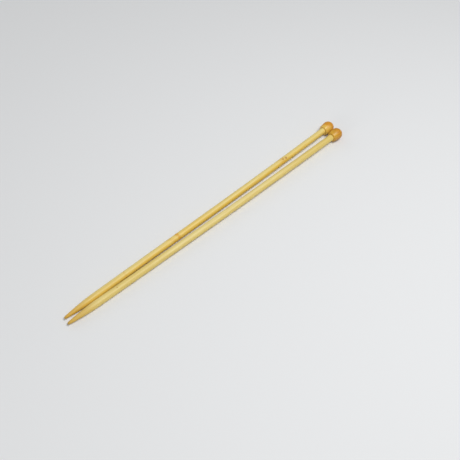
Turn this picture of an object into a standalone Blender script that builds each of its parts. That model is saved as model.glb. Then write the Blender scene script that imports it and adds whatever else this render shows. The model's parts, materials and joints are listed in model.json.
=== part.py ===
"""A pair of straight, single-pointed knitting needles, lying side by side on a table.

Each needle is a round bamboo shaft with a rounded, tapered point, glued into the blind bore of a
turned wooden knob. The two knobs touch each other, and so do the two shafts where their tapers end.

Lengths are in metres. The origin is on the table, under the middle of the pair. +X runs from the
points to the knobs, +Y to the left needle, and +Z is up.
"""

import math

import bmesh
import bpy

# Whole needle
NEEDLE_LENGTH = 0.350  # from the point to the end of the knob
GAP = 0.0003  # clearance between two pieces that touch
RIGHT_LEAD = 0.0008  # how far the right point lies ahead of the left one

# Shaft
SHAFT_RADIUS = 0.0035
TAPER_LENGTH = 0.030  # from the point to the full diameter
TAPER_POWER = 1.6  # 1 would be a straight cone, and 2 a parabola
POINT_RADIUS = 0.00125  # rounding of the blunt point
BUTT_CHAMFER = 0.0004  # on the end that is glued into the knob

# Knob, with its stations measured from its mouth
KNOB_RADIUS = 0.0064
KNOB_LENGTH = 0.0140
KNOB_WIDEST = 0.0080  # station of the widest ring
MOUTH_RADIUS = 0.0054  # outside of the rim that the shaft goes into
RIM_ROUNDING = 0.0008
END_FLAT_RADIUS = 0.0015  # flat left where the knob was parted off the lathe
BORE_DEPTH = 0.0085

# Facets
SIDES = 40
NOSE_STEPS = 4
TAPER_STEPS = 9
RIM_STEPS = 3
FLARE_STEPS = 6
DOME_STEPS = 8
SHARP_ANGLE = math.radians(35)

# Base colour, roughness
LEFT_BAMBOO = ((0.72, 0.55, 0.17), 0.42)
RIGHT_BAMBOO = ((0.74, 0.60, 0.24), 0.42)
KNOB_WOOD = ((0.62, 0.30, 0.045), 0.28)

MOUTH_STATION = NEEDLE_LENGTH - KNOB_LENGTH

# A needle touches a flat surface with its knob's widest ring and with the end of its taper, so its
# axis leans away from that surface by this angle. It leans so both from the table and from the
# upright plane between the needles.
LEAN = math.atan((KNOB_RADIUS - SHAFT_RADIUS) / (MOUTH_STATION + KNOB_WIDEST - TAPER_LENGTH))


def fractions(steps):
    """The fractions 1/steps, 2/steps and so on up to 1."""
    return [step / steps for step in range(1, steps + 1)]


def shaft_outline():
    """Stations and radii from the point to the butt, which is inside the knob."""
    taper_rise = SHAFT_RADIUS - POINT_RADIUS
    taper_start_slope = TAPER_POWER * taper_rise / (TAPER_LENGTH - POINT_RADIUS)
    nose_turn = math.pi / 2 - math.atan(taper_start_slope)
    outline = [(0.0, 0.0)]
    for part in fractions(NOSE_STEPS):
        turn = nose_turn * part
        outline.append((POINT_RADIUS * (1 - math.cos(turn)), POINT_RADIUS * math.sin(turn)))

    start, start_radius = outline[-1]
    for part in fractions(TAPER_STEPS):
        station = start + (TAPER_LENGTH - start) * part
        shortfall = (SHAFT_RADIUS - start_radius) * (1 - part) ** TAPER_POWER
        outline.append((station, SHAFT_RADIUS - shortfall))

    butt = MOUTH_STATION + BORE_DEPTH - GAP
    outline += [(butt - BUTT_CHAMFER, SHAFT_RADIUS), (butt, SHAFT_RADIUS - BUTT_CHAMFER), (butt, 0.0)]
    return outline


def knob_outline():
    """Stations and radii from the bottom of the bore, round the mouth and over the outside to the end."""
    bore_radius = SHAFT_RADIUS + GAP
    outline = [(BORE_DEPTH, 0.0), (BORE_DEPTH, bore_radius), (0.0, bore_radius)]

    rim_centre = MOUTH_RADIUS - RIM_ROUNDING
    outline.append((0.0, rim_centre))
    for part in fractions(RIM_STEPS):
        turn = math.pi / 2 * part
        station = RIM_ROUNDING * (1 - math.cos(turn))
        outline.append((station, rim_centre + RIM_ROUNDING * math.sin(turn)))

    for part in fractions(FLARE_STEPS):
        station = RIM_ROUNDING + (KNOB_WIDEST - RIM_ROUNDING) * part
        rise = (KNOB_RADIUS - MOUTH_RADIUS) * math.sin(math.pi / 2 * part)
        outline.append((station, MOUTH_RADIUS + rise))

    # The dome is an ellipse that the end flat cuts short.
    end_turn = math.acos(END_FLAT_RADIUS / KNOB_RADIUS)
    dome_length = (KNOB_LENGTH - KNOB_WIDEST) / math.sin(end_turn)
    for part in fractions(DOME_STEPS):
        turn = end_turn * part
        outline.append((KNOB_WIDEST + dome_length * math.sin(turn), KNOB_RADIUS * math.cos(turn)))

    outline.append((KNOB_LENGTH, 0.0))
    return outline


def turned(name, outline, material):
    """An object made by spinning an outline, which starts and ends on the axis, round the X axis."""
    shape = bmesh.new()
    corners = [shape.verts.new((station, 0.0, -radius)) for station, radius in outline]
    edges = [shape.edges.new(pair) for pair in zip(corners, corners[1:])]
    bmesh.ops.spin(
        shape,
        geom=corners + edges,
        cent=(0.0, 0.0, 0.0),
        axis=(1.0, 0.0, 0.0),
        angle=2 * math.pi,
        steps=SIDES,
        use_merge=True,
    )
    bmesh.ops.remove_doubles(shape, verts=shape.verts, dist=1e-6)
    bmesh.ops.recalc_face_normals(shape, faces=shape.faces)

    mesh = bpy.data.meshes.new(name)
    shape.to_mesh(mesh)
    shape.free()
    mesh.shade_smooth()
    mesh.set_sharp_from_angle(angle=SHARP_ANGLE)
    mesh.materials.append(material)
    piece = bpy.data.objects.new(name, mesh)
    bpy.context.collection.objects.link(piece)
    return piece


def wood(name, finish):
    """A plain wooden material with the given base colour and roughness."""
    colour, roughness = finish
    material = bpy.data.materials.new(name)
    material.use_nodes = True
    shader = material.node_tree.nodes["Principled BSDF"]
    shader.inputs["Base Color"].default_value = (*colour, 1.0)
    shader.inputs["Roughness"].default_value = roughness
    shader.inputs["Metallic"].default_value = 0.0
    return material


def needle(side_name, side, bamboo, knob_wood):
    """One needle on its own empty, whose origin is the point and whose X axis is the needle's axis."""
    axis_offset = SHAFT_RADIUS * math.cos(LEAN) - TAPER_LENGTH * math.sin(LEAN)
    length_along_x = NEEDLE_LENGTH * math.cos(LEAN) ** 2
    rig = bpy.data.objects.new(f"{side_name}_needle", None)
    bpy.context.collection.objects.link(rig)
    rig.location = (
        side * RIGHT_LEAD / 2 - length_along_x / 2,
        side * (axis_offset + GAP / 2),
        axis_offset,
    )
    rig.rotation_euler = (0.0, -LEAN, side * LEAN)

    shaft = turned(f"{side_name}_shaft", shaft_outline(), bamboo)
    shaft.parent = rig
    knob = turned(f"{side_name}_knob", knob_outline(), knob_wood)
    knob.parent = rig
    knob.location.x = MOUTH_STATION


def build():
    """Both needles, in an empty scene."""
    for old in list(bpy.data.objects):
        bpy.data.objects.remove(old)
    knob_wood = wood("knob_wood", KNOB_WOOD)
    needle("left", 1, wood("left_bamboo", LEFT_BAMBOO), knob_wood)
    needle("right", -1, wood("right_bamboo", RIGHT_BAMBOO), knob_wood)


build()
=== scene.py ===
"""The looks of two straight bamboo knitting needles that lie side by side on a pale table.

Lengths are in metres, in the CAD model's frame: +X runs from the points to the knobs, +Y to the left
needle, +Z is up, and the table is at Z = 0. Each needle also has a frame of its own, whose origin is
its point and whose X axis is its own axis, so a station is a distance from the point.
"""

import json
import math

import bmesh
import bpy
from mathutils import Matrix, Vector, noise


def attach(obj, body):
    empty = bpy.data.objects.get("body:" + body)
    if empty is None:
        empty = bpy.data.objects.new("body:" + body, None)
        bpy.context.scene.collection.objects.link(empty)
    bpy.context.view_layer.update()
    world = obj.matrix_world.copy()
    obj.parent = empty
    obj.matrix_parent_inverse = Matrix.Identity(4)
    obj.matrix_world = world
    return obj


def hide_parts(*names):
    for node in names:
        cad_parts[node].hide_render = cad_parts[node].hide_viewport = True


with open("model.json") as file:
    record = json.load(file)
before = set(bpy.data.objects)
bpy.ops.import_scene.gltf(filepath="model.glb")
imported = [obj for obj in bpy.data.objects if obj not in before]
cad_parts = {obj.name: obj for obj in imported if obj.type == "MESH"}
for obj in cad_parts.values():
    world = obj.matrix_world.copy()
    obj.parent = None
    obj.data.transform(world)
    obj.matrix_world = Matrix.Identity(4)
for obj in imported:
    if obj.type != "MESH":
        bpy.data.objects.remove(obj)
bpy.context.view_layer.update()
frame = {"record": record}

# Shape of a needle, as in the CAD model
NEEDLE_LENGTH = 0.350
SHAFT_RADIUS = 0.0035
TAPER_LENGTH = 0.030
TAPER_POWER = 1.6
POINT_RADIUS = 0.00125
BUTT_CHAMFER = 0.0004
KNOB_RADIUS = 0.0064
KNOB_LENGTH = 0.0140
KNOB_WIDEST = 0.0080
MOUTH_RADIUS = 0.0054
RIM_ROUNDING = 0.0008
END_FLAT_RADIUS = 0.0015
BORE_DEPTH = 0.0085
MOUTH_STATION = NEEDLE_LENGTH - KNOB_LENGTH

# Finer shape that only the looks have
GLUE_LINE = 0.00006  # between the shaft and the wall of the bore
BUTT_CLEARANCE = 0.0003  # between the butt and the bottom of the bore
MOUTH_CHAMFER = 0.00018
CENTRE_DIMPLE = 0.00012  # depth of the mark that the lathe left in the knob's end flat
DIMPLE_RADIUS = CENTRE_DIMPLE * 3

# The shaft's hand-sanded surface
SANDING_DEPTH = 0.00005
SANDING_PER_METRE = 45
TRUE_TIP = TAPER_LENGTH / 4  # the stretch by the point that stays exactly round
TRUE_BUTT = 0.004  # the same in front of the knob's mouth
RIDGE_HEIGHT = 0.00008  # of a node, where the bamboo was jointed
RIDGE_HALF_WIDTH = 0.0016

# How far each shaft is warped to the right at most, and the skew of the bend: 1 is deepest in the
# middle of the shaft, and more is deepest nearer to the knob
LEFT_BEND = (0.00085, 1.6)
RIGHT_BEND = (0.00088, 1.25)

# Facets: sides round the axis, and steps along each part of an outline
SHAFT_SIDES = 72
NOSE_STEPS = 10
TAPER_STEPS = 36
SHAFT_STEPS = 230
KNOB_SIDES = 112
RIM_STEPS = 8
FLARE_STEPS = 20
DOME_STEPS = 28
MERGE_DISTANCE = 1e-6
SHARP_ANGLE = math.radians(32)


# ---------------------------------------------------------------- shapes


def fractions(steps):
    """The fractions 1/steps, 2/steps and so on up to 1."""
    return [step / steps for step in range(1, steps + 1)]


def shaft_outline():
    """Stations and radii from the point to the butt, which is inside the knob."""
    taper_rise = SHAFT_RADIUS - POINT_RADIUS
    taper_start_slope = TAPER_POWER * taper_rise / (TAPER_LENGTH - POINT_RADIUS)
    nose_turn = math.pi / 2 - math.atan(taper_start_slope)
    outline = [(0.0, 0.0)]
    for part in fractions(NOSE_STEPS):
        turn = nose_turn * part
        outline.append((POINT_RADIUS * (1 - math.cos(turn)), POINT_RADIUS * math.sin(turn)))

    start, start_radius = outline[-1]
    for part in fractions(TAPER_STEPS):
        station = start + (TAPER_LENGTH - start) * part
        shortfall = (SHAFT_RADIUS - start_radius) * (1 - part) ** TAPER_POWER
        outline.append((station, SHAFT_RADIUS - shortfall))

    butt = MOUTH_STATION + BORE_DEPTH - BUTT_CLEARANCE
    straight = butt - BUTT_CHAMFER - TAPER_LENGTH
    for part in fractions(SHAFT_STEPS):
        outline.append((TAPER_LENGTH + straight * part, SHAFT_RADIUS))
    outline += [(butt, SHAFT_RADIUS - BUTT_CHAMFER), (butt, 0.0)]
    return outline


def knob_outline():
    """Stations from the knob's mouth, and radii, from the bottom of the bore to the end's middle."""
    bore_radius = SHAFT_RADIUS + GLUE_LINE
    outline = [(BORE_DEPTH, 0.0), (BORE_DEPTH, bore_radius)]
    outline += [(MOUTH_CHAMFER, bore_radius), (0.0, bore_radius + MOUTH_CHAMFER)]

    rim_centre = MOUTH_RADIUS - RIM_ROUNDING
    outline.append((0.0, rim_centre))
    for part in fractions(RIM_STEPS):
        turn = math.pi / 2 * part
        station = RIM_ROUNDING * (1 - math.cos(turn))
        outline.append((station, rim_centre + RIM_ROUNDING * math.sin(turn)))

    for part in fractions(FLARE_STEPS):
        station = RIM_ROUNDING + (KNOB_WIDEST - RIM_ROUNDING) * part
        rise = (KNOB_RADIUS - MOUTH_RADIUS) * math.sin(math.pi / 2 * part)
        outline.append((station, MOUTH_RADIUS + rise))

    # The dome is an ellipse that the end flat cuts short.
    end_turn = math.acos(END_FLAT_RADIUS / KNOB_RADIUS)
    dome_length = (KNOB_LENGTH - KNOB_WIDEST) / math.sin(end_turn)
    for part in fractions(DOME_STEPS):
        turn = end_turn * part
        outline.append((KNOB_WIDEST + dome_length * math.sin(turn), KNOB_RADIUS * math.cos(turn)))

    outline += [(KNOB_LENGTH, DIMPLE_RADIUS), (KNOB_LENGTH - CENTRE_DIMPLE, 0.0)]
    return outline


def turned(name, outline, sides):
    """An object made by spinning an outline, which starts and ends on the axis, round its X axis."""
    shape = bmesh.new()
    corners = [shape.verts.new((station, 0.0, -radius)) for station, radius in outline]
    edges = [shape.edges.new(pair) for pair in zip(corners, corners[1:])]
    bmesh.ops.spin(
        shape,
        geom=corners + edges,
        cent=(0.0, 0.0, 0.0),
        axis=(1.0, 0.0, 0.0),
        angle=2 * math.pi,
        steps=sides,
        use_merge=True,
    )
    bmesh.ops.remove_doubles(shape, verts=shape.verts, dist=MERGE_DISTANCE)
    bmesh.ops.recalc_face_normals(shape, faces=shape.faces)
    mesh = bpy.data.meshes.new(name)
    shape.to_mesh(mesh)
    shape.free()
    piece = bpy.data.objects.new(name, mesh)
    bpy.context.collection.objects.link(piece)
    return piece


def smooth(piece):
    """Round shading, with the real edges kept sharp."""
    piece.data.shade_smooth()
    piece.data.set_sharp_from_angle(angle=SHARP_ANGLE)


def warped(station, bend):
    """How far the shaft is warped to the right, which is nothing at the point and in the knob."""
    depth, skew = bend
    part = max(0.0, min(1.0, station / MOUTH_STATION))
    return depth * math.sin(math.pi * part**skew)


def warp(shaft, bend):
    """Warps the shaft sideways."""
    for vertex in shaft.data.vertices:
        vertex.co.y -= warped(vertex.co.x, bend)


def weather(shaft, ridges, seed):
    """Moves the shaft's skin in and out, as sanding by hand and the bamboo's own nodes leave it."""
    for vertex in shaft.data.vertices:
        station, across, up = vertex.co
        if not TRUE_TIP <= station <= MOUTH_STATION - TRUE_BUTT:
            continue
        where = Vector((station * SANDING_PER_METRE, across / SHAFT_RADIUS, up / SHAFT_RADIUS + seed))
        change = -SANDING_DEPTH * (0.5 + 0.5 * noise.noise(where))
        for ridge_station, slant in ridges:
            away = (station - ridge_station - slant * across) / RIDGE_HALF_WIDTH
            change += RIDGE_HEIGHT * math.exp(-away * away)
        radius = math.hypot(across, up)
        vertex.co.y *= 1 + change / radius
        vertex.co.z *= 1 + change / radius


# ---------------------------------------------------------------- materials

# Patterns, as cells a metre along and across the needle
TONE_DRIFT = (11, 240)
STREAKS = (14, 1500)
DASHES = (55, 2300)
PORES = (150, 3600)
PATCHES = (85, 620)
NODE_EDGE = (330, 500)
KNOB_SHEETS = (30, 420)
KNOB_FIBRES = (240, 3400)
KNOB_DRIFT = (150, 210)
PAPER_TOOTH = (900, 900)

# How a seed moves a piece through the patterns, in cells along X, Y and Z
BAMBOO_SPREAD = (1.0, 3.1, 7.7)
KNOB_SPREAD = (1.0, 2.3, 5.9)
NOISE_MIDDLE = 0.5

# Fades, each a smooth step of a value: (low, high, what it gives at low, what it gives at high)
# The skin's share round the rod, which also paints shade on the low right-hand side
SKIN_AND_SHADE_FADE = (-0.35, 0.95, 0.0, 1.0)
STREAK_FADE = (0.44, 0.70, 0.0, 0.48)
DASH_FADE = (0.10, 0.36, 1.0, 0.0)
CROWD_FADE = (0.0, 1.0, 0.16, 0.42)
PORE_FADE = (0.60, 0.74, 0.0, 1.0)
DARK_PATCH_FADE = (0.50, 0.72, 0.0, 0.34)
PALE_PATCH_FADE = (0.30, 0.46, 0.30, 0.0)
TAPER_FADE = (0.0, TAPER_LENGTH * 1.3, 0.85, 0.0)
NOSE_FADE = (0.0, 0.0035, 0.55, 0.0)
BAMBOO_ROUGHNESS = (0.3, 0.7, 0.44, 0.56)
# Painted light: the knob's wood is paler near its mouth
MOUTH_LIGHT_FADE = (0.0, KNOB_WIDEST * 1.2, -0.14, 0.14)
HONEY_FADE = (0.36, 0.64, 0.0, 1.0)
SHEET_FADE = (0.45, 1.0, 0.0, 0.22)
FIBRE_FADE = (0.50, 0.76, 0.0, 0.35)
# Painted shade: the knob's wood is darker on its downward side
PAINTED_SHADE_SIDE_FADE = (0.1, 1.0, 0.0, 0.45)
# Painted shade on the dome's end, partly end grain, and painted light on the mouth's face
END_GRAIN_AND_SHADE_FADE = (0.72, 1.0, 0.0, 0.30)
MOUTH_FACE_LIGHT_FADE = (-1.0, -0.60, 0.60, 0.0)
KNOB_ROUGHNESS = (0.3, 0.7, 0.38, 0.50)

# Shares and strengths
SKIN_AND_SHADE_SWAY = 1.6  # how strongly the drift moves the edge between the skin and the inner wood
PORE_SHARE = 0.22
NOSE_SHADE = 0.5  # brightness of the point, where the taper's is 1
RING_WANDER = 0.004  # metres from one extreme of a ring's uneven edge to the other
RING_CORE = 0.1  # the share of a ring's reach at full strength
FLECK_CORE = 0.4  # the same for a spot's radius
FLECK_END = 1.3  # where a spot ends, in its radii
FLECK_SHARE = 0.8
DASH_HOLLOW = -0.6  # height of a dash, where a streak's is 1
BAMBOO_BUMP = (0.00004, 0.30)  # depth in metres, strength
KNOB_BUMP = (0.00003, 0.20)
PAPER_BUMP = (0.00002, 0.20)

# Linear colours. Bamboo has an inner, a skin, a fibre and a tip colour, and honey-coloured wood has a
# pale, a main and a dark one. The skin colour also serves as painted shade on a shaft's low right-hand
# side
NODE_RING = (0.70, 0.36, 0.028)
BURNT = (0.42, 0.17, 0.020)
WARM_INNER = (0.81, 0.66, 0.24)
WARM_SKIN_AND_SHADE = (0.82, 0.55, 0.083)
WARM_BAMBOO = (WARM_INNER, WARM_SKIN_AND_SHADE, (0.68, 0.43, 0.066), (0.64, 0.355, 0.034))
PALE_INNER = (0.82, 0.69, 0.285)
PALE_SKIN_AND_SHADE = (0.74, 0.56, 0.15)
PALE_BAMBOO = (PALE_INNER, PALE_SKIN_AND_SHADE, (0.68, 0.47, 0.11), (0.62, 0.36, 0.036))
PALE_HONEY = ((0.79, 0.51, 0.085), (0.68, 0.30, 0.013), (0.46, 0.18, 0.009))
DEEP_HONEY = ((0.68, 0.375, 0.029), (0.64, 0.285, 0.011), (0.38, 0.125, 0.005))

# The Mix node's sockets for colours, which share their names with its other sockets
MIX_FIRST = 6
MIX_SECOND = 7
MIX_RESULT = 2


class Paint:
    """A material's node tree, with short ways to add nodes to it."""

    def __init__(self, name):
        self.material = bpy.data.materials.new(name)
        self.material.use_nodes = True
        self.tree = self.material.node_tree
        self.shader = self.tree.nodes["Principled BSDF"]
        self.place = self.add("ShaderNodeTexCoord").outputs["Object"]

    def add(self, kind, **settings):
        """A new node, with its settings."""
        node = self.tree.nodes.new(kind)
        for name, value in settings.items():
            setattr(node, name, value)
        return node

    def feed(self, socket, value):
        """Wires another node's output to the socket, or sets a plain value on it."""
        if isinstance(value, bpy.types.NodeSocket):
            self.tree.links.new(value, socket)
        else:
            socket.default_value = value

    def finish(self, **inputs):
        """Feeds the shader's inputs, whose names are written here with _ for a space."""
        for name, value in inputs.items():
            self.feed(self.shader.inputs[name.replace("_", " ")], value)
        return self.material

    def maths(self, operation, first, second=0.0, clamp=False):
        """One of Blender's maths operations on one or two values."""
        node = self.add("ShaderNodeMath", operation=operation, use_clamp=clamp)
        self.feed(node.inputs[0], first)
        self.feed(node.inputs[1], second)
        return node.outputs[0]

    def blend(self, share, first, second):
        """The first colour, with the given share of the second one mixed in."""
        node = self.add("ShaderNodeMix", data_type="RGBA")
        self.feed(node.inputs["Factor"], share)
        for index, colour in ((MIX_FIRST, first), (MIX_SECOND, second)):
            self.feed(node.inputs[index], (*colour, 1.0) if isinstance(colour, tuple) else colour)
        return node.outputs[MIX_RESULT]

    def between(self, value, low, high, at_low, at_high):
        """A smooth step of the value, from at_low where it is low to at_high where it is high."""
        node = self.add("ShaderNodeMapRange", interpolation_type="SMOOTHSTEP")
        for socket, number in zip(node.inputs, (value, low, high, at_low, at_high)):
            self.feed(socket, number)
        return node.outputs[0]

    def stretched(self, cells, start=(0.0, 0.0, 0.0), turn=0.0):
        """Coordinates with the given cells a metre, (along, across) the piece's axis."""
        along, across = cells
        node = self.add("ShaderNodeMapping")
        self.feed(node.inputs["Vector"], self.place)
        node.inputs["Location"].default_value = start
        node.inputs["Rotation"].default_value = (turn, 0.0, 0.0)
        node.inputs["Scale"].default_value = (along, across, across)
        return node.outputs[0]

    def grain(self, where, detail=2.0, roughness=0.5):
        """Noise from 0 to 1, at one cell for each unit of the given coordinates."""
        node = self.add("ShaderNodeTexNoise", normalize=True)
        self.feed(node.inputs["Vector"], where)
        node.inputs["Scale"].default_value = 1.0
        node.inputs["Detail"].default_value = detail
        node.inputs["Roughness"].default_value = roughness
        return node.outputs[0]

    def from_middle(self, where):
        """The distance to the nearest cell's middle, at one cell for each unit."""
        node = self.add("ShaderNodeTexVoronoi", feature="F1")
        self.feed(node.inputs["Vector"], where)
        node.inputs["Scale"].default_value = 1.0
        return node.outputs["Distance"]

    def split(self, vector):
        """A vector's three parts."""
        node = self.add("ShaderNodeSeparateXYZ")
        self.feed(node.inputs[0], vector)
        return node.outputs

    def warped(self, station, bend):
        """The same as the function of this name, for every station on the surface."""
        depth, skew = bend
        part = self.maths("DIVIDE", station, MOUTH_STATION, clamp=True)
        turn = self.maths("MULTIPLY", self.maths("POWER", part, skew), math.pi)
        return self.maths("MULTIPLY", self.maths("SINE", turn), depth)

    def towards(self, angle, across, up, radius):
        """How far out a point lies on the side that is the given angle round from the top."""
        return self.maths(
            "ADD",
            self.maths("MULTIPLY", across, math.sin(angle) / radius),
            self.maths("MULTIPLY", up, math.cos(angle) / radius),
        )

    def facing(self):
        """The way that the surface faces, in the piece's own frame."""
        return self.add("ShaderNodeTexCoord").outputs["Normal"]

    def distance_to(self, spot):
        """How far the surface is from a point in the piece's own frame."""
        node = self.add("ShaderNodeVectorMath", operation="DISTANCE")
        self.feed(node.inputs[0], self.place)
        node.inputs[1].default_value = spot
        return node.outputs["Value"]

    def bump(self, height, depth, strength):
        """A normal that follows the height, which is from 0 to 1, over a depth in metres."""
        node = self.add("ShaderNodeBump")
        self.feed(node.inputs["Height"], height)
        node.inputs["Distance"].default_value = depth
        node.inputs["Strength"].default_value = strength
        return node.outputs[0]


def starting_from(seed, spread):
    """Where in the endless patterns a piece lies, so that each piece shows a part of its own."""
    return tuple(seed * part for part in spread)


def on_skin(station, degrees, bend):
    """A spot on the shaft's skin, at an angle round from the top towards the left needle's side."""
    angle = math.radians(degrees)
    across = SHAFT_RADIUS * math.sin(angle) - warped(station, bend)
    return (station, across, SHAFT_RADIUS * math.cos(angle))


def bamboo(name, bend, tones, seed, skin_and_shade_angle, stains, rings, flecks):
    """Lacquered bamboo for a shaft with the given bend.

    The rod was split from a thick culm, so one of its sides is the culm's dense, warm skin and the
    opposite one its pale inner wood. skin_and_shade_angle turns the skin's side round from the top; it
    is turned low on the right-hand side, so the darker, warmer tone there is partly the culm's skin and
    partly painted shade. stains are (station, reach, strength, colour) of long stretches, rings are
    (station, slant, reach, strength) of the culm's nodes, and flecks are (station, degrees round from
    the top, radius) of spots.
    """
    inner, skin, fibre, tip = tones
    paint = Paint(name)
    station, across, up = paint.split(paint.place)
    across = paint.maths("ADD", across, paint.warped(station, bend))
    start = starting_from(seed, BAMBOO_SPREAD)

    # From the inner wood to the skin, round the rod, with a slow drift along it. The skin's darker,
    # warmer tone on the low right-hand side is partly the culm's skin and partly painted shade
    towards_skin_and_shade = paint.towards(skin_and_shade_angle, across, up, SHAFT_RADIUS)
    drift = paint.grain(paint.stretched(TONE_DRIFT, start), detail=3)
    sway = paint.maths("MULTIPLY", paint.maths("SUBTRACT", drift, NOISE_MIDDLE), SKIN_AND_SHADE_SWAY)
    side = paint.between(paint.maths("ADD", towards_skin_and_shade, sway), *SKIN_AND_SHADE_FADE)
    colour = paint.blend(side, inner, skin)
    for stain_station, reach, strength, tone in stains:
        away = paint.maths("ABSOLUTE", paint.maths("SUBTRACT", station, stain_station))
        colour = paint.blend(paint.between(away, 0.0, reach, strength, 0.0), colour, tone)

    # Streaks, and the dark dashes of fibre bundles, which crowd towards the skin and so add to the
    # painted shade on that side
    streaks = paint.grain(paint.stretched(STREAKS, start), detail=4, roughness=0.6)
    colour = paint.blend(paint.between(streaks, *STREAK_FADE), colour, fibre)
    patches = paint.grain(paint.stretched(PATCHES, start), detail=3, roughness=0.6)
    colour = paint.blend(paint.between(patches, *DARK_PATCH_FADE), colour, fibre)
    colour = paint.blend(paint.between(patches, *PALE_PATCH_FADE), colour, inner)
    dashes = paint.between(paint.from_middle(paint.stretched(DASHES, start)), *DASH_FADE)
    crowd = paint.between(side, *CROWD_FADE)
    colour = paint.blend(paint.maths("MULTIPLY", dashes, crowd), colour, fibre)
    pores = paint.between(paint.grain(paint.stretched(PORES, start)), *PORE_FADE)
    colour = paint.blend(paint.maths("MULTIPLY", pores, PORE_SHARE), colour, fibre)

    # The sanded taper cuts across the fibres and takes a darker tone, most of all at the point
    colour = paint.blend(paint.between(station, *TAPER_FADE), colour, tip)
    nose = tuple(NOSE_SHADE * part for part in tip)
    colour = paint.blend(paint.between(station, *NOSE_FADE), colour, nose)

    # The culm's nodes, each a soft and uneven band
    ragged = paint.grain(paint.stretched(NODE_EDGE, start))
    wander = paint.maths("MULTIPLY", paint.maths("SUBTRACT", ragged, NOISE_MIDDLE), RING_WANDER)
    for ring_station, slant, reach, strength in rings:
        moved = paint.maths("SUBTRACT", station, paint.maths("MULTIPLY", across, slant))
        moved = paint.maths("ADD", moved, wander)
        away = paint.maths("ABSOLUTE", paint.maths("SUBTRACT", moved, ring_station))
        ring = paint.between(away, reach * RING_CORE, reach, strength, 0.0)
        colour = paint.blend(ring, colour, NODE_RING)

    for fleck_station, degrees, radius in flecks:
        away = paint.distance_to(on_skin(fleck_station, degrees, bend))
        spot = paint.between(away, radius * FLECK_CORE, radius * FLECK_END, FLECK_SHARE, 0.0)
        colour = paint.blend(spot, colour, BURNT)

    relief = paint.maths("ADD", streaks, paint.maths("MULTIPLY", dashes, DASH_HOLLOW))
    return paint.finish(
        Base_Color=colour,
        Roughness=paint.between(streaks, *BAMBOO_ROUGHNESS),
        Normal=paint.bump(relief, *BAMBOO_BUMP),
        Coat_Weight=0.15,
        Coat_Roughness=0.40,
    )


def knob_wood(name, tones, seed, turn, painted_shade_angle):
    """Honey-coloured, close-grained wood under gloss lacquer.

    turn is the angle of the grain about the axis, and painted_shade_angle turns the side that is
    painted darker, as painted shade, round from the top.
    """
    pale, main, dark = tones
    paint = Paint(name)
    start = starting_from(seed, KNOB_SPREAD)

    # Yearly rings lie as wavy sheets along the blank that the knob was turned from
    sheets = paint.add("ShaderNodeTexWave", wave_type="BANDS", bands_direction="Y")
    paint.feed(sheets.inputs["Vector"], paint.stretched(KNOB_SHEETS, start, turn))
    sheets.inputs["Scale"].default_value = 0.42
    sheets.inputs["Distortion"].default_value = 2.2
    sheets.inputs["Detail"].default_value = 2.0
    sheets.inputs["Detail Scale"].default_value = 0.8
    rings = sheets.outputs["Fac"]
    fibres = paint.grain(paint.stretched(KNOB_FIBRES, start, turn), detail=4, roughness=0.65)
    drift = paint.grain(paint.stretched(KNOB_DRIFT, start), detail=3)

    # The wood is painted palest round the mouth, which is painted light, and darker on one side that
    # looks down, which is painted shade
    station, across, up = paint.split(paint.place)
    depth = paint.between(station, *MOUTH_LIGHT_FADE)
    colour = paint.blend(paint.between(paint.maths("ADD", drift, depth), *HONEY_FADE), pale, main)
    colour = paint.blend(paint.between(rings, *SHEET_FADE), colour, dark)
    colour = paint.blend(paint.between(fibres, *FIBRE_FADE), colour, dark)
    towards_painted_shade = paint.towards(painted_shade_angle, across, up, KNOB_RADIUS)
    colour = paint.blend(paint.between(towards_painted_shade, *PAINTED_SHADE_SIDE_FADE), colour, dark)

    # Faces that look towards the end are darker, partly end grain that drinks the stain and partly
    # painted shade on the dome's end. Faces that look towards the points, as the mouth's, are painted
    # lighter: painted light
    along, _, _ = paint.split(paint.facing())
    colour = paint.blend(paint.between(along, *END_GRAIN_AND_SHADE_FADE), colour, dark)
    colour = paint.blend(paint.between(along, *MOUTH_FACE_LIGHT_FADE), colour, pale)
    return paint.finish(
        Base_Color=colour,
        Roughness=paint.between(fibres, *KNOB_ROUGHNESS),
        Normal=paint.bump(fibres, *KNOB_BUMP),
        Coat_Weight=0.22,
        Coat_Roughness=0.28,
    )


# ---------------------------------------------------------------- needles

# The left shaft's raised node: its station, and how far its ring slants along for each metre across
LEFT_NODE = (0.1288, -0.15)


def needle_place(side):
    """The needle's own frame, from the flat end of its knob."""
    mounts = {mount["name"]: mount for mount in frame["record"]["mounts"]}
    end = mounts[f"{side}_knob_end"]
    axis = Vector(end["axis"]).normalized()
    point = Vector(end["pos_m"]) - axis * NEEDLE_LENGTH
    return Matrix.LocRotScale(point, axis.to_track_quat("X", "Z"), None)


def make_needle(side, bend, ridges, seed, shaft_wood, stop_wood):
    """A fine shaft and knob that stand for the plain CAD ones. ridges are the shaft's raised nodes."""
    place = needle_place(side)
    body = f"{side}_needle"

    shaft = turned(f"{side}_bamboo_shaft", shaft_outline(), SHAFT_SIDES)
    weather(shaft, ridges, seed)
    warp(shaft, bend)
    smooth(shaft)
    shaft.matrix_world = place
    shaft.data.materials.append(shaft_wood)
    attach(shaft, body)
    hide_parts(f"{side}_shaft")

    knob = turned(f"{side}_turned_knob", knob_outline(), KNOB_SIDES)
    smooth(knob)
    knob.matrix_world = place @ Matrix.Translation((MOUTH_STATION, 0.0, 0.0))
    knob.data.materials.append(stop_wood)
    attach(knob, body)
    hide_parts(f"{side}_knob")


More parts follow.
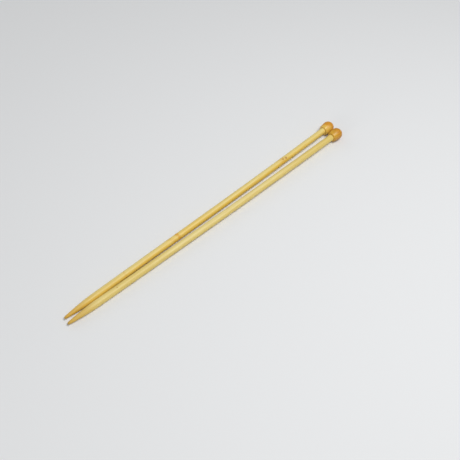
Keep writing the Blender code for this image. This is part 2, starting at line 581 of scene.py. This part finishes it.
def make_needles():
    """Both needles, each with its own marks."""
    warm = bamboo(
        "warm_bamboo",
        LEFT_BEND,
        WARM_BAMBOO,
        seed=1.7,
        # The skin's side, with its painted shade, is turned low on the right
        skin_and_shade_angle=math.radians(-105),
        stains=[(0.142, 0.045, 0.5, WARM_SKIN_AND_SHADE), (0.325, 0.060, 0.4, WARM_INNER)],
        rings=[
            (*LEFT_NODE, 0.0024, 0.85),
            (0.1205, -0.9, 0.0034, 0.28),
            (0.066, 0.3, 0.0016, 0.30),
            (0.2715, 0.0, 0.0058, 0.32),
        ],
        flecks=[(0.2720, -11, 0.0011), (0.2758, -24, 0.0015)],
    )
    pale = bamboo(
        "pale_bamboo",
        RIGHT_BEND,
        PALE_BAMBOO,
        seed=4.2,
        # The skin's side, with its painted shade, is turned low on the right
        skin_and_shade_angle=math.radians(-120),
        stains=[(0.325, 0.110, 0.9, PALE_SKIN_AND_SHADE), (0.075, 0.085, 0.7, PALE_SKIN_AND_SHADE)],
        rings=[],
        flecks=[(0.0530, -6, 0.0006)],
    )
    pale_knob = knob_wood(
        "left_honey",
        PALE_HONEY,
        seed=2.9,
        turn=0.4,
        painted_shade_angle=math.radians(170),
    )
    deep_knob = knob_wood(
        "right_honey",
        DEEP_HONEY,
        seed=6.1,
        turn=1.5,
        painted_shade_angle=math.radians(-120),
    )
    make_needle("left", LEFT_BEND, ridges=[LEFT_NODE], seed=0.0, shaft_wood=warm, stop_wood=pale_knob)
    make_needle("right", RIGHT_BEND, ridges=[], seed=5.0, shaft_wood=pale, stop_wood=deep_knob)


# ---------------------------------------------------------------- studio

TABLE_TONE = (0.80, 0.81, 0.82)
TABLE_RADIUS = 12.0
TABLE_SIDES = 96
WORLD_TONE = (1.0, 1.0, 1.0)
WORLD_STRENGTH = 0.285

# Softboxes: name, place, length, width, watts
SOFTBOXES = [
    ("key", (0.22, -0.42, 1.12), 0.50, 0.46, 9.7),
    ("back_fill", (-0.15, 0.95, 0.50), 1.10, 0.60, 1.2),
    ("point_fill", (-1.20, -0.15, 0.28), 0.60, 0.60, 3.0),
]

# The camera circles a spot on the table. At azimuth 0 it looks along +Y, and its roll is clockwise.
CAMERA_SPOT = Vector((-0.0009, -0.0216, 0.0))
CAMERA_AZIMUTH = math.radians(-40.24)
CAMERA_ELEVATION = math.radians(54.50)
CAMERA_DISTANCE = 0.5622
CAMERA_ROLL = math.radians(1.63)
CAMERA_LENS_MM = 44.72
CAMERA_NEAR = 0.01
SENSOR_MM = 36.0


def make_table():
    """A plain pale table top, far wider than any view."""
    shape = bmesh.new()
    bmesh.ops.create_circle(shape, cap_ends=True, segments=TABLE_SIDES, radius=TABLE_RADIUS)
    mesh = bpy.data.meshes.new("table")
    shape.to_mesh(mesh)
    shape.free()
    table = bpy.data.objects.new("table", mesh)
    bpy.context.collection.objects.link(table)
    paint = Paint("table_paper")
    fine = paint.grain(paint.stretched(PAPER_TOOTH), detail=3)
    mesh.materials.append(
        paint.finish(
            Base_Color=(*TABLE_TONE, 1.0),
            Roughness=0.7,
            Specular_IOR_Level=0.2,
            Normal=paint.bump(fine, *PAPER_BUMP),
        )
    )


def make_lights():
    """Soft light from all round, and softboxes that give the wood its sheen."""
    world = bpy.data.worlds.new("studio")
    world.use_nodes = True
    background = world.node_tree.nodes["Background"]
    background.inputs["Color"].default_value = (*WORLD_TONE, 1.0)
    background.inputs["Strength"].default_value = WORLD_STRENGTH
    bpy.context.scene.world = world
    for name, place, length, width, watts in SOFTBOXES:
        light = bpy.data.lights.new(name, "AREA")
        light.shape = "RECTANGLE"
        light.size = length
        light.size_y = width
        light.energy = watts
        softbox = bpy.data.objects.new(name, light)
        softbox.location = place
        facing = -Vector(place)
        softbox.rotation_euler = facing.to_track_quat("-Z", "Y").to_euler()
        bpy.context.collection.objects.link(softbox)


def make_camera():
    """The camera, and colours shown as they are."""
    level = math.cos(CAMERA_ELEVATION)
    back = Vector(
        (
            math.sin(CAMERA_AZIMUTH) * level,
            -math.cos(CAMERA_AZIMUTH) * level,
            math.sin(CAMERA_ELEVATION),
        )
    )
    data = bpy.data.cameras.new("camera")
    data.sensor_width = SENSOR_MM
    data.lens = CAMERA_LENS_MM
    data.clip_start = CAMERA_NEAR
    camera = bpy.data.objects.new("camera", data)
    bpy.context.collection.objects.link(camera)
    look = (-back).to_track_quat("-Z", "Y").to_matrix().to_4x4()
    place = Matrix.Translation(CAMERA_SPOT + back * CAMERA_DISTANCE)
    camera.matrix_world = place @ look @ Matrix.Rotation(-CAMERA_ROLL, 4, "Z")
    bpy.context.scene.camera = camera
    bpy.context.scene.view_settings.view_transform = "Standard"


make_camera()
make_lights()
make_table()
make_needles()
